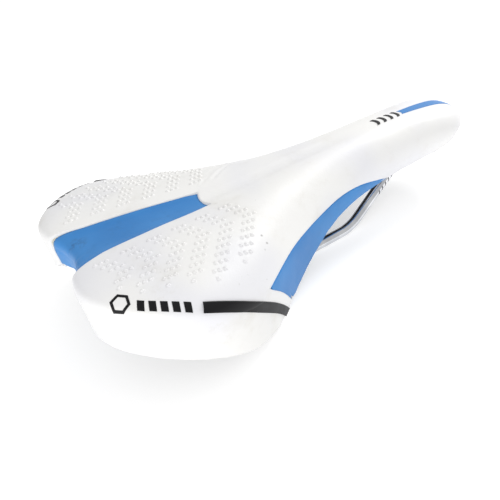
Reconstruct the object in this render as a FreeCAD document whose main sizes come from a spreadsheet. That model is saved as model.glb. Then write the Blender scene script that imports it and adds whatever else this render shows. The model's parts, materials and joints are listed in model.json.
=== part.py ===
import FreeCAD, Part
import Sketcher
import math
import os

from FreeCAD import Placement, Rotation, Vector

# Bicycle saddle. +X points to the nose, +Y to the rider's left, +Z up. The origin is the middle of
# the seatpost clamp's place, between the two straight stretches of the rail, on their axes' level.

doc = FreeCAD.newDocument("Saddle")
sheet = doc.addObject("Spreadsheet::Sheet", "Sizes")

# The rim is the saddle's outline seen from above, from the notch at the rear to the tip of the nose:
# place along X, and half the width there.
rim = {
    "notch": (-127.5, 0.0),
    "saddleback": (-130.0, 13.5),
    "lobe": (-133.5, 34.0),
    "corner": (-121.5, 56.5),
    "wing": (-88.0, 75.0),
    "hip": (-58.0, 70.5),
    "haunch": (-30.0, 55.0),
    "waist": (0.0, 38.5),
    "neck": (32.0, 28.5),
    "bridge": (70.0, 24.2),
    "nose": (110.0, 24.5),
    "cheek": (139.0, 21.0),
    "tip": (151.0, 0.0),
}

# Stations along X for the heights: the crest's height, how deep the centre groove dips below it, how
# far in from the rim the top rounds over and how far it drops there, the height of the hem, and how
# far the skirt pulls in on its way down.
stations = {
    "tail": (-133.0, 66.0, 0.2, 53.5, 9.0, 31.0, 0.8),
    "seat": (-95.0, 60.5, 0.8, 63.0, 12.5, 20.0, 0.6),
    "thigh": (-55.0, 56.6, 2.4, 51.0, 26.5, 4.0, -0.6),
    "middle": (-15.0, 55.2, 2.4, 37.5, 29.6, 7.0, 0.8),
    "throat": (30.0, 53.8, 0.9, 27.0, 26.0, 21.5, 1.0),
    "span": (75.0, 52.0, 0.0, 20.5, 21.0, 24.8, 2.2),
    "beak": (115.0, 49.5, 0.0, 20.0, 17.0, 26.2, 2.8),
    "point": (151.0, 44.5, 0.0, 22.0, 8.0, 30.0, 3.0),
}
# Outlines seen from the side, each from front to rear: place along X and height.
sideLines = {
    "panel_top": [(69.0, 25.0), (49.0, 31.4), (25.0, 33.3), (0.0, 32.7), (-25.0, 33.8), (-49.0, 32.3)],
    "panel_end": [(-41.3, 23.1), (-28.5, 1.0), (69.0, 1.0)],
    "band_top": [(-34.0, 2.0), (-42.9, 16.0), (-56.3, 31.3), (-72.5, 44.4), (-87.0, 51.6)],
    "band_low": [(-89.2, 48.8), (-74.7, 40.2), (-57.7, 24.9), (-44.3, 9.8), (-38.5, 0.5)],
}
stationSizes = ("place", "crest", "groove", "round", "drop", "hem", "tuck")

sizes = {
    # layers, as thickness at the rim and at the crown
    "cover_thickness": 1.2,
    "film_thickness": 0.3,
    "foam_rim": 2.8,
    "rim_sink": 0.8,
    "foam_crown": 11.0,
    "shell_rim": 2.6,
    "shell_crown": 3.0,
    "rib_depth": 4.5,
    "hem_width": 6.0,
    "cutter_margin": 10.0,
    # arch of the hem at the middle of the rear
    "arch_rise": 13.0,
    "arch_flat": 13.0,
    "arch_reach": 38.0,
    "groove_width": 13.0,
    # blue inlay in the channel
    "channel_front": -46.2,
    "channel_front_width": 16.4,
    "channel_front_bow": 2.2,
    "channel_flare": -112.0,
    "channel_flare_width": 28.8,
    "channel_rear": -138.5,
    "channel_rear_width": 42.0,
    "channel_sink": 1.4,
    # graphics on the nose
    "stripe_rear": 103.0,
    "stripe_width": 5.4,
    "mark_count": 4.0,
    "mark_gap": 3.4,
    "mark_pitch": 5.7,
    "mark_width": 2.3,
    "mark_length": 7.4,
    "mark_bow": 1.6,
    # emblem on each wing: a hexagon ring and a row of slanted bars
    "emblem_x": -119.3,
    "emblem_y": 51.2,
    "emblem_radius": 5.0,
    "emblem_line": 1.2,
    "bar_count": 5.0,
    "bar_x": -110.8,
    "bar_y": 59.4,
    "bar_pitch": 5.2,
    "bar_width": 3.0,
    "bar_height": 3.6,
    "bar_lean": 1.4,
    "bar_heading": 29.0,
    "emblem_floor": 52.0,
    "emblem_end": -60.0,
    # rail
    "rail_diameter": 7.0,
    "rail_spacing": 44.0,
    "clamp_length": 76.0,
    "rail_tail": -108.0,
    "rail_tail_height": 35.0,
    "rail_tail_spread": 34.0,
    "rail_tail_run": 24.0,
    "rail_tail_narrowing": 2.5,
    "rail_tail_bend": 14.0,
    "clamp_rear_run": 10.0,
    "clamp_rear_bend": 24.0,
    "clamp_front_run": 2.0,
    "clamp_front_bend": 34.0,
    "rail_nose_run": 18.0,
    "rail_nose_narrowing": 0.9,
    "rail_nose_bend": 20.0,
    "rail_end_bend": 9.45,
    "rail_nose": 117.0,
    "rail_nose_height": 30.0,
    "rail_nose_spread": 9.5,
    # rear sockets and bushes
    "bush_wall": 1.6,
    "bush_length": 15.0,
    "socket_length": 21.0,
    "socket_width": 19.0,
    "socket_floor": 27.0,
    "socket_overhang": 4.0,
    "socket_round": 3.0,
    # nose socket and clip
    "nose_block_rear": 96.0,
    "nose_block_length": 25.0,
    "nose_block_width": 27.0,
    "clip_length": 21.0,
    "clip_width": 26.0,
    "clip_thickness": 5.5,
    "clip_round": 4.0,
    "screw_diameter": 5.0,
    "screw_head_diameter": 8.5,
    "screw_head_height": 2.8,
    "screw_length": 9.0,
    "screw_place": 107.0,
    "key_radius": 2.5,
    "key_depth": 2.0,
    # gel pads
    "gel_place": -82.0,
    "gel_spread": 37.0,
    "gel_length": 62.0,
    "gel_width": 40.0,
    "gel_depth": 3.0,
    "gel_thickness": 4.5,
    "gel_margin": 8.0,
    # flex window through the shell
    "window_rear": -70.0,
    "window_front": 30.0,
    "window_width": 13.0,
    # ribs under the shell
    "rib_thickness": 2.0,
    "rib_margin": 4.0,
    "rib_overlap": 1.0,
    "rib_spread": 10.5,
    "cross_rib_count": 3.0,
    "cross_rib_rear": -80.0,
    "cross_rib_pitch": 22.0,
    # hem staples
    "staple_width": 6.0,
    "staple_wire": 0.7,
    "staple_pitch": 15.0,
    "staple_inset": 4.0,
}


def fillSheet():
    rows = dict(sizes)
    for name, (along, across) in rim.items():
        rows[name + "_x"] = along
        rows[name + "_y"] = across
    for name, values in stations.items():
        for label, value in zip(stationSizes, values):
            rows[name + "_" + label] = value
    for name, points in sideLines.items():
        for place, (along, height) in enumerate(points, start=1):
            rows[f"{name}_x_{place}"] = along
            rows[f"{name}_z_{place}"] = height
    for number, (alias, value) in enumerate(rows.items(), start=1):
        sheet.set(f"A{number}", alias)
        sheet.set(f"B{number}", str(value))
        sheet.setAlias(f"B{number}", alias)
    doc.recompute()


fillSheet()


def size(alias):
    return float(sheet.get(alias))


def sideLine(name):
    """The points of an outline seen from the side."""
    places = range(1, len(sideLines[name]) + 1)
    return [Vector(size(f"{name}_x_{place}"), 0, size(f"{name}_z_{place}")) for place in places]


# ---- heights -------------------------------------------------------------------------------------


def stationValue(label, along):
    """A smooth curve through the stations' values, level beyond the first and the last."""
    places = [size(name + "_place") for name in stations]
    values = [size(name + "_" + label) for name in stations]
    along = min(max(along, places[0]), places[-1])
    last = len(places) - 1
    after = next(index for index in range(1, last + 1) if along <= places[index])
    before = after - 1

    def slope(index):
        low = max(index - 1, 0)
        high = min(index + 1, last)
        return (values[high] - values[low]) / (places[high] - places[low])

    gap = places[after] - places[before]
    share = (along - places[before]) / gap
    square = share * share
    cube = square * share
    return (
        (2 * cube - 3 * square + 1) * values[before]
        + (cube - 2 * square + share) * gap * slope(before)
        + (3 * square - 2 * cube) * values[after]
        + (cube - square) * gap * slope(after)
    )


ROUND_POWER = 2.3  # squareness of the rounded shoulder between the top and the skirt


def rise(along, inset):
    """0 at the rim, 1 where the top is no longer rounding over."""
    reach = stationValue("round", along)
    depth = min(max(1 - inset / reach, 0), 1)
    return (1 - depth**ROUND_POWER) ** (1 / ROUND_POWER)


def crownHeight(along, across, inset):
    groove = stationValue("groove", along) * math.exp(-((across / size("groove_width")) ** 2))
    drop = stationValue("drop", along) * (1 - rise(along, inset))
    return stationValue("crest", along) - groove - drop


# ---- the outline, and layers that follow it --------------------------------------------------------


def rimOutline():
    """The closed outline, from the notch round by the right wing, the tip and the left wing."""
    names = list(rim)
    right = [Vector(size(name + "_x"), -size(name + "_y"), 0) for name in names]
    left = [Vector(point.x, -point.y, 0) for point in reversed(right[1:-1])]
    outline = Part.BSplineCurve()
    outline.interpolate(Points=right + left, PeriodicFlag=True)
    return outline


outline = rimOutline()
outlineEdge = outline.toShape()


def outlinePlace(name, side):
    return outline.parameter(Vector(size(name + "_x"), side * size(name + "_y"), 0))


turn = outline.LastParameter - outline.FirstParameter
rightCorner = outlinePlace("corner", -1)
rightCheek = outlinePlace("cheek", -1)
leftCheek = outlinePlace("cheek", 1)
leftCorner = outlinePlace("corner", 1)

# The four stretches of the rim, each from right to left or from rear to nose.
rimStretches = {
    "rear": (rightCorner, leftCorner - turn),
    "right": (rightCorner, rightCheek),
    "nose": (rightCheek, leftCheek),
    "left": (leftCorner, leftCheek),
}


def rimPoint(stretch, share, inset):
    """A point of the outline, moved in by the inset, square to the outline."""
    start, end = rimStretches[stretch]
    place = outline.FirstParameter + (start + (end - start) * share - outline.FirstParameter) % turn
    tangent = outline.tangent(place)[0]
    return outline.value(place) + Vector(-tangent.y, tangent.x, 0) * inset


def planPoint(along, across, inset):
    """A point inside the rim, blended from the rim's four stretches: shares from rear and right."""
    rear = rimPoint("rear", across, inset)
    nose = rimPoint("nose", across, inset)
    right = rimPoint("right", along, inset)
    left = rimPoint("left", along, inset)
    rearRight = rimPoint("rear", 0, inset)
    rearLeft = rimPoint("rear", 1, inset)
    noseRight = rimPoint("nose", 0, inset)
    noseLeft = rimPoint("nose", 1, inset)
    lengthwise = rear * (1 - along) + nose * along
    crosswise = right * (1 - across) + left * across
    corners = (rearRight * (1 - across) + rearLeft * across) * (1 - along)
    corners += (noseRight * (1 - across) + noseLeft * across) * along
    return lengthwise + crosswise - corners


def easedShares(count):
    """Shares from 0 to 1 that lie closer together towards both ends."""
    return [(1 - math.cos(math.pi * step / count)) / 2 for step in range(count + 1)]


LENGTH_STEPS = 26
WIDTH_STEPS = 18
SKIRT_STEPS = 20


def crownSurface(inset, rimSink, crownSink):
    """A layer's top face, sunk below the saddle's own top by one depth at the rim, another inside."""
    rows = []
    for along in easedShares(LENGTH_STEPS):
        row = []
        for across in easedShares(WIDTH_STEPS):
            point = planPoint(along, across, inset)
            onRim = min(along, 1 - along, across, 1 - across) < 1e-9
            fromRim = 0 if onRim else outlineEdge.distToShape(Part.Vertex(point))[0] - inset
            sink = rimSink + (crownSink - rimSink) * rise(point.x, fromRim)
            point.z = crownHeight(point.x, point.y, fromRim) - sink
            row.append(point)
        rows.append(row)
    surface = Part.BSplineSurface()
    surface.interpolate(rows)
    return surface


def crownEdges(surface):
    first, last, low, high = surface.bounds()
    return {
        "rear": surface.uIso(first).toShape(),
        "nose": surface.uIso(last).toShape(),
        "right": surface.vIso(low).toShape(),
        "left": surface.vIso(high).toShape(),
    }


def hemHeight(stretch, point):
    """The height of the skirt's lower edge, which arches up at the middle of the rear."""
    height = stationValue("hem", point.x)
    if stretch == "rear":
        share = (abs(point.y) - size("arch_flat")) / (size("arch_reach") - size("arch_flat"))
        share = min(max(share, 0), 1)
        height += size("arch_rise") * (1 + math.cos(math.pi * share)) / 2
    return height


def hemEdges(inset, lift):
    """The four edges of a ring at the hem's height, moved in by the inset and up by the lift."""
    edges = {}
    for stretch in rimStretches:
        points = []
        for share in easedShares(SKIRT_STEPS):
            tuck = stationValue("tuck", rimPoint(stretch, share, 0).x)
            point = rimPoint(stretch, share, inset + tuck)
            point.z = hemHeight(stretch, point) + lift
            points.append(point)
        curve = Part.BSplineCurve()
        curve.interpolate(Points=points)
        edges[stretch] = curve.toShape()
    return edges


def layerSolid(top, rings, bottom):
    """A closed solid from a top surface, down or up through rings of edges, to a bottom surface."""
    faces = [top.toShape(), bottom.toShape()]
    chain = [crownEdges(top)] + rings + [crownEdges(bottom)]
    for upper, lower in zip(chain, chain[1:]):
        for stretch in rimStretches:
            faces.append(Part.makeRuledSurface(upper[stretch], lower[stretch]))
    shell = Part.makeShell(faces)
    shell.sewShape()
    solid = Part.makeSolid(Part.Shell(shell.Faces))
    if solid.Volume < 0:
        solid.reverse()
    return solid


def addLayer(name, solid):
    layer = doc.addObject("Part::Feature", name)
    layer.Shape = solid
    layer.Placement = Placement()
    return layer


cover = size("cover_thickness")
film = size("film_thickness")
sink = size("channel_sink")
hemWidth = size("hem_width")
rimSink = size("rim_sink")
foamRim = cover + size("foam_rim")
foamCrown = cover + size("foam_crown")
shellRim = foamRim + size("shell_rim")
shellCrown = foamCrown + size("shell_crown")
ribInset = shellRim + size("rib_margin")
ribCrown = shellCrown + size("rib_depth")

saddleTop = crownSurface(0, 0, 0)
foamTop = crownSurface(cover, cover, cover)
shellTop = crownSurface(foamRim, cover + rimSink, foamCrown)
shellUnder = crownSurface(shellRim, cover + 2 * rimSink, shellCrown)


def wrappedLayer(name, top, bottom, outer, inner):
    """A skin with a hem that turns in under the skirt, from one inset to another."""
    rings = [hemEdges(outer, -cover), hemEdges(hemWidth, -cover)]
    rings += [hemEdges(hemWidth, 0), hemEdges(inner, 0)]
    return addLayer(name, layerSolid(top, rings, bottom))


def openLayer(name, top, bottom, outer, inner):
    """A layer that ends flat at the hem's height."""
    return addLayer(name, layerSolid(top, [hemEdges(outer, 0), hemEdges(inner, 0)], bottom))


coverLayer = wrappedLayer("CoverLayer", saddleTop, foamTop, 0, cover)
linerTop = crownSurface(sink, sink, sink)
linerUnder = crownSurface(sink + cover, sink + cover, sink + cover)
linerLayer = wrappedLayer("LinerLayer", linerTop, linerUnder, sink, sink + cover)
filmTop = crownSurface(-film, -film, -film)
filmRings = [hemEdges(-film, -cover), hemEdges(0, -cover)]
filmLayer = addLayer("FilmLayer", layerSolid(filmTop, filmRings, saddleTop))
roomRings = [hemEdges(-film, -cover), hemEdges(sink + cover, -cover)]
linerRoom = addLayer("LinerRoom", layerSolid(filmTop, roomRings, linerUnder))
foamLayer = openLayer("FoamLayer", foamTop, shellTop, cover, foamRim)
shellLayer = openLayer("ShellLayer", shellTop, shellUnder, foamRim, shellRim)
wholeSaddle = openLayer("WholeSaddle", saddleTop, shellUnder, 0, shellRim)

gelDepth = cover + size("gel_depth")
gelUnder = gelDepth + size("gel_thickness")
gelTop = crownSurface(size("gel_margin"), gelDepth, gelDepth)
gelBottom = crownSurface(size("gel_margin"), gelUnder, gelUnder)
gelLayer = addLayer("GelLayer", layerSolid(gelTop, [], gelBottom))
ribTop = crownSurface(ribInset, cover + rimSink, shellCrown - size("rib_overlap"))
ribUnder = crownSurface(ribInset, cover + 3 * rimSink, ribCrown)
ribLayer = addLayer("RibLayer", layerSolid(ribTop, [], ribUnder))

# ---- cutters: loops drawn flat and extruded --------------------------------------------------------


def addBox(name, low, high):
    """A box between two corners given as expressions in the sheet's sizes."""
    box = doc.addObject("Part::Box", name)
    for axis, label, start, end in zip("xyz", ("Length", "Width", "Height"), low, high):
        box.setExpression(f"Placement.Base.{axis}", start)
        box.setExpression(label, f"({end}) - ({start})")
    return box


def addCylinder(name, radius, height, place):
    """An upright cylinder: expressions for its radius, its height and the centre of its foot."""
    cylinder = doc.addObject("Part::Cylinder", name)
    cylinder.setExpression("Radius", radius)
    cylinder.setExpression("Height", height)
    for axis, expression in zip("xyz", place):
        cylinder.setExpression(f"Placement.Base.{axis}", expression)
    return cylinder


def addLoop(name, corners):
    """A closed sketch, seen from above, of straight lines whose corners are pairs of expressions."""
    sketch = doc.addObject("Sketcher::SketchObject", name)
    places = [Vector(*[sketch.evalExpression(text) for text in corner], 0) for corner in corners]
    for start, end in zip(places, places[1:] + places[:1]):
        sketch.addGeometry(Part.LineSegment(start, end))
    for line, corner in enumerate(corners):
        sketch.addConstraint(Sketcher.Constraint("Coincident", line, 2, (line + 1) % len(corners), 1))
        for kind, text, value in zip(("DistanceX", "DistanceY"), corner, places[line]):
            number = sketch.addConstraint(Sketcher.Constraint(kind, -1, 1, line, 1, value))
            sketch.setExpression(f"Constraints[{number}]", text)
    return sketch


def addWire(name, edges):
    wire = doc.addObject("Part::Feature", name)
    wire.Shape = Part.Wire(edges)
    wire.Placement = Placement()
    return wire


def extrude(name, base, direction, ahead, behind):
    """A closed loop extruded both ways along a direction, by two expressions."""
    extrusion = doc.addObject("Part::Extrusion", name)
    extrusion.Base = base
    extrusion.DirMode = "Custom"
    extrusion.Dir = direction
    extrusion.Solid = True
    extrusion.setExpression("LengthFwd", ahead)
    extrusion.setExpression("LengthRev", behind)
    return extrusion


def combine(kind, name, shapes):
    """A Part::MultiFuse or Part::MultiCommon of several objects."""
    result = doc.addObject(kind, name)
    result.Shapes = shapes
    return result


def cut(name, base, tool):
    result = doc.addObject("Part::Cut", name)
    result.Base = base
    result.Tool = tool
    return result


def common(name, base, tool):
    result = doc.addObject("Part::Common", name)
    result.Base = base
    result.Tool = tool
    return result


UP = Vector(0, 0, 1)
ABOVE = "Sizes.seat_crest + Sizes.cutter_margin"
SIDES = {"left": 1, "right": -1}

# The channel's front end bows towards the tail.
channelFront = []
for share in (-1, -0.5, 0, 0.5, 1):
    bowed = f"Sizes.channel_front - Sizes.channel_front_bow * {1 - share**2}"
    channelFront.append((bowed, f"Sizes.channel_front_width / 2 * {share}"))
channelLoop = addLoop(
    "ChannelLoop",
    channelFront
    + [
        ("Sizes.channel_flare", "Sizes.channel_flare_width / 2"),
        ("Sizes.channel_rear", "Sizes.channel_rear_width / 2"),
        ("Sizes.channel_rear", "-Sizes.channel_rear_width / 2"),
        ("Sizes.channel_flare", "-Sizes.channel_flare_width / 2"),
    ],
)
channelCutter = extrude("ChannelCutter", channelLoop, UP, ABOVE, "0")


def splineEdge(points):
    curve = Part.BSplineCurve()
    curve.interpolate(Points=points)
    return curve.toShape()


def straightEdges(points):
    return [Part.LineSegment(start, end).toShape() for start, end in zip(points, points[1:])]


panelTop = sideLine("panel_top")
panelClosing = [panelTop[-1]] + sideLine("panel_end") + [panelTop[0]]
panelLoop = addWire("PanelLoop", [splineEdge(panelTop)] + straightEdges(panelClosing))
bandTop = sideLine("band_top")
bandLow = sideLine("band_low")
bandEdges = [splineEdge(bandTop)] + straightEdges([bandTop[-1], bandLow[0]])
bandEdges += [splineEdge(bandLow)] + straightEdges([bandLow[-1], bandTop[0]])
bandLoop = addWire("BandLoop", bandEdges)
OUTWARD = "Sizes.wing_y + Sizes.cutter_margin"
panelCutters = {}
bandCutters = {}
for side, sign in SIDES.items():
    direction = Vector(0, sign, 0)
    panelCutters[side] = extrude(f"PanelCutter_{side}", panelLoop, direction, OUTWARD, "0")
    bandCutters[side] = extrude(f"BandCutter_{side}", bandLoop, direction, OUTWARD, "0")

# ---- skins -----------------------------------------------------------------------------------------

pieces = []


def piece(name, made):
    """Names a finished sub-part: its label is its file's name."""
    made.Label = name
    pieces.append(made)
    return made


inlayCutters = [channelCutter] + list(panelCutters.values())
coverCutters = combine("Part::MultiFuse", "CoverCutters", inlayCutters)
piece("cover_main", cut("CoverMain", coverLayer, coverCutters))
piece("channel_liner", common("ChannelLiner", linerLayer, channelCutter))
channelRoom = common("ChannelRoom", linerRoom, channelCutter)
for side in SIDES:
    piece(f"side_panel_{side}", common(f"SidePanel_{side}", coverLayer, panelCutters[side]))
    piece(f"band_film_{side}", common(f"BandFilm_{side}", filmLayer, bandCutters[side]))

stripe = addBox(
    "StripeCutter",
    ("Sizes.stripe_rear", "-Sizes.stripe_width / 2", "Sizes.point_hem"),
    ("Sizes.tip_x + Sizes.cutter_margin", "Sizes.stripe_width / 2", ABOVE),
)
piece("nose_stripe", common("NoseStripe", filmLayer, stripe))

# A short bar across the nose, bowed forward, drawn once and repeated towards the tail.
markCutters = []
for number in range(int(size("mark_count"))):
    front = size("stripe_rear") - size("mark_gap") - number * size("mark_pitch")
    rear = front - size("mark_width")
    reach = size("mark_length") / 2
    bow = size("mark_bow")
    frontArc = Part.Arc(Vector(front, -reach, 0), Vector(front + bow, 0, 0), Vector(front, reach, 0))
    rearArc = Part.Arc(Vector(rear, reach, 0), Vector(rear + bow, 0, 0), Vector(rear, -reach, 0))
    ends = [Part.LineSegment(frontArc.EndPoint, rearArc.StartPoint)]
    ends.append(Part.LineSegment(rearArc.EndPoint, frontArc.StartPoint))
    edges = [frontArc.toShape(), ends[0].toShape(), rearArc.toShape(), ends[1].toShape()]
    wire = addWire(f"MarkLoop_{number}", edges)
    markCutters.append(extrude(f"MarkCutter_{number}", wire, UP, ABOVE, "0"))
markColumns = combine("Part::MultiFuse", "MarkColumns", markCutters)
piece("nose_marks", common("NoseMarks", filmLayer, markColumns))


def hexagon(centre, radius):
    corners = []
    for corner in range(7):
        angle = math.radians(60 * corner)
        corners.append(centre + Vector(radius * math.cos(angle), radius * math.sin(angle), 0))
    return straightEdges(corners)


def slantedBar(foot, heading, sign):
    """A leaning bar on the left wing, or its mirror image on the right one."""
    width = size("bar_width")
    height = size("bar_height")
    lean = size("bar_lean")
    flat = [(0, 0), (width, 0), (width + lean, -height), (lean, -height), (0, 0)]
    corners = []
    for along, across in flat:
        point = foot + heading.multVec(Vector(along, across, 0))
        corners.append(Vector(point.x, sign * point.y, 0))
    return straightEdges(corners)


heading = Rotation(UP, size("bar_heading"))
barFoot = Vector(size("bar_x"), size("bar_y"), 0)
for side, sign in SIDES.items():
    centre = Vector(size("emblem_x"), sign * size("emblem_y"), 0)
    radius = size("emblem_radius")
    rings = []
    for name, reach in (("Outside", radius), ("Inside", radius - size("emblem_line"))):
        wire = addWire(f"Emblem{name}_{side}", hexagon(centre, reach))
        rings.append(extrude(f"Emblem{name}Cutter_{side}", wire, UP, ABOVE, "0"))
    marks = [cut(f"EmblemRing_{side}", rings[0], rings[1])]
    for number in range(int(size("bar_count"))):
        foot = barFoot + heading.multVec(Vector(number * size("bar_pitch"), 0, 0))
        wire = addWire(f"BarLoop_{number}_{side}", slantedBar(foot, heading, sign))
        marks.append(extrude(f"BarCutter_{number}_{side}", wire, UP, ABOVE, "0"))
    columns = combine("Part::MultiFuse", f"EmblemColumns_{side}", marks)
    topOnly = addBox(
        f"EmblemFloor_{side}",
        ("Sizes.lobe_x", f"-({OUTWARD})", "Sizes.emblem_floor"),
        ("Sizes.emblem_end", OUTWARD, ABOVE),
    )
    emblemCutter = common(f"EmblemCutter_{side}", columns, topOnly)
    piece(f"emblem_film_{side}", common(f"EmblemFilm_{side}", filmLayer, emblemCutter))

# ---- padding and shell -----------------------------------------------------------------------------

gelPads = []
for side, sign in SIDES.items():
    ellipse = doc.addObject("Part::Ellipse", f"GelLoop_{side}")
    ellipse.setExpression("MajorRadius", "Sizes.gel_length / 2")
    ellipse.setExpression("MinorRadius", "Sizes.gel_width / 2")
    ellipse.setExpression("Placement.Base.x", "Sizes.gel_place")
    ellipse.setExpression("Placement.Base.y", f"{sign} * Sizes.gel_spread")
    column = extrude(f"GelCutter_{side}", ellipse, UP, ABOVE, "0")
    gelPads.append(piece(f"gel_pad_{side}", common(f"GelPad_{side}", gelLayer, column)))
hollows = combine("Part::MultiFuse", "FoamHollows", [channelRoom] + gelPads)
piece("foam_pad", cut("FoamPad", foamLayer, hollows))

ribBoxes = []
for sign in SIDES.values():
    inner = f"{sign} * Sizes.rib_spread - Sizes.rib_thickness / 2"
    outer = f"{sign} * Sizes.rib_spread + Sizes.rib_thickness / 2"
    low = ("Sizes.notch_x", inner, "0")
    high = ("Sizes.nose_block_rear", outer, ABOVE)
    ribBoxes.append(addBox(f"LongRib_{sign + 1}", low, high))
for number in range(int(size("cross_rib_count"))):
    start = f"Sizes.cross_rib_rear + {number} * Sizes.cross_rib_pitch"
    low = (start, "-Sizes.wing_y", "0")
    high = (start + " + Sizes.rib_thickness", "Sizes.wing_y", ABOVE)
    ribBoxes.append(addBox(f"CrossRib_{number}", low, high))
ribs = common("Ribs", ribLayer, combine("Part::MultiFuse", "RibBoxes", ribBoxes))
window = addBox(
    "FlexWindow",
    ("Sizes.window_rear", "-Sizes.window_width / 2", "0"),
    ("Sizes.window_front", "Sizes.window_width / 2", ABOVE),
)
ribbedShell = combine("Part::MultiFuse", "RibbedShell", [shellLayer, ribs])
piece("base_shell", cut("BaseShell", ribbedShell, window))

# ---- rail ------------------------------------------------------------------------------------------

railRadius = size("rail_diameter") / 2
straight = size("clamp_length") / 2
halfSpacing = size("rail_spacing") / 2
tailSpread = size("rail_tail_spread")
noseSpread = size("rail_nose_spread")
tailHeight = size("rail_tail_height")
noseHeight = size("rail_nose_height")
tailBend = size("rail_tail") + size("rail_tail_run")
noseBend = size("rail_nose") - size("rail_nose_run")

# One half of the rail's centre line, from its rear end to the bend in the nose, with a bend radius
# at each corner between.
halfRail = [
    (Vector(size("rail_tail"), -tailSpread, tailHeight), None),
    (Vector(tailBend, -tailSpread + size("rail_tail_narrowing"), tailHeight), size("rail_tail_bend")),
    (Vector(-straight - size("clamp_rear_run"), -halfSpacing, 0), size("clamp_rear_bend")),
    (Vector(straight + size("clamp_front_run"), -halfSpacing, 0), size("clamp_front_bend")),
    (Vector(noseBend, -noseSpread - size("rail_nose_narrowing"), noseHeight), size("rail_nose_bend")),
    (Vector(size("rail_nose"), -noseSpread, noseHeight), size("rail_end_bend")),
]
otherHalf = [(Vector(point.x, -point.y, point.z), bend) for point, bend in reversed(halfRail)]
railCorners = halfRail + otherHalf


def bentLine(corners):
    """Straight runs joined by tangent arcs."""
    edges = []
    start = corners[0][0]
    for (before, _), (corner, bend), (after, _) in zip(corners, corners[1:], corners[2:]):
        back = (before - corner).normalize()
        ahead = (after - corner).normalize()
        half = back.getAngle(ahead) / 2
        first = corner + back * (bend / math.tan(half))
        last = corner + ahead * (bend / math.tan(half))
        middle = corner + (back + ahead).normalize() * (bend / math.sin(half) - bend)
        edges.append(Part.LineSegment(start, first).toShape())
        edges.append(Part.Arc(first, middle, last).toShape())
        start = last
    edges.append(Part.LineSegment(start, corners[-1][0]).toShape())
    return edges


railEdges = bentLine(railCorners)
railLine = addWire("RailLine", railEdges)
railTail = railCorners[0][0]
tailAhead = (railCorners[1][0] - railTail).normalize()
ALONG_TAIL = {"right": Rotation(UP, tailAhead)}
ALONG_TAIL["left"] = Rotation(UP, Vector(tailAhead.x, -tailAhead.y, tailAhead.z))
railSection = doc.addObject("Part::Circle", "RailSection")
railSection.setExpression("Radius", "Sizes.rail_diameter / 2")
railSection.Placement = Placement(railTail, ALONG_TAIL["right"])
rail = doc.addObject("Part::Sweep", "Rail")
rail.Sections = [railSection]
rail.Spine = (railLine, [f"Edge{number}" for number in range(1, len(railEdges) + 1)])
rail.Solid = True
rail.Frenet = False
piece("rail", rail)

# ---- rear sockets and bushes -------------------------------------------------------------------------

for side, sign in SIDES.items():
    foot = Placement(Vector(railTail.x, sign * tailSpread, tailHeight), ALONG_TAIL[side])
    body = doc.addObject("PartDesign::Body", f"Bush_{side}")
    plane = next(item for item in body.Origin.OriginFeatures if item.Role == "XY_Plane")
    ring = body.newObject("Sketcher::SketchObject", f"BushRing_{side}")
    ring.AttachmentSupport = [(plane, "")]
    ring.MapMode = "FlatFace"
    for radius, text in (
        (railRadius, "Sizes.rail_diameter / 2"),
        (railRadius + size("bush_wall"), "Sizes.rail_diameter / 2 + Sizes.bush_wall"),
    ):
        circle = ring.addGeometry(Part.Circle(Vector(), UP, radius))
        ring.addConstraint(Sketcher.Constraint("Coincident", circle, 3, -1, 1))
        number = ring.addConstraint(Sketcher.Constraint("Radius", circle, radius))
        ring.setExpression(f"Constraints[{number}]", text)
    pad = body.newObject("PartDesign::Pad", f"BushPad_{side}")
    pad.Profile = ring
    pad.setExpression("Length", "Sizes.bush_length")
    body.Tip = pad
    body.Placement = foot
    piece(f"rear_bush_{side}", body)

    bore = doc.addObject("Part::Cylinder", f"SocketBore_{side}")
    bore.setExpression("Radius", "Sizes.rail_diameter / 2 + Sizes.bush_wall")
    bore.setExpression("Height", "Sizes.socket_length + Sizes.cutter_margin")
    bore.Placement = foot
    socketRear = "Sizes.rail_tail - Sizes.socket_overhang"
    socketFront = socketRear + " + Sizes.socket_length"
    socketMiddle = f"{sign} * Sizes.rail_tail_spread"
    block = addBox(
        f"SocketBlock_{side}",
        (socketRear, socketMiddle + " - Sizes.socket_width / 2", "Sizes.socket_floor"),
        (socketFront, socketMiddle + " + Sizes.socket_width / 2", "Sizes.seat_crest - Sizes.foam_crown"),
    )
    doc.recompute()
    rounded = doc.addObject("Part::Fillet", f"SocketRounded_{side}")
    rounded.Base = block
    socketRound = size("socket_round")
    lowest = size("socket_floor") + socketRound
    lowEdges = [n for n, edge in enumerate(block.Shape.Edges, 1) if edge.BoundBox.ZMin < lowest]
    rounded.Edges = [(number, socketRound, socketRound) for number in lowEdges]
    tools = combine("Part::MultiFuse", f"SocketTools_{side}", [wholeSaddle, bore, ribs])
    piece(f"rear_socket_{side}", cut(f"RearSocket_{side}", rounded, tools))

# ---- nose socket, clip and screw -----------------------------------------------------------------------

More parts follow.
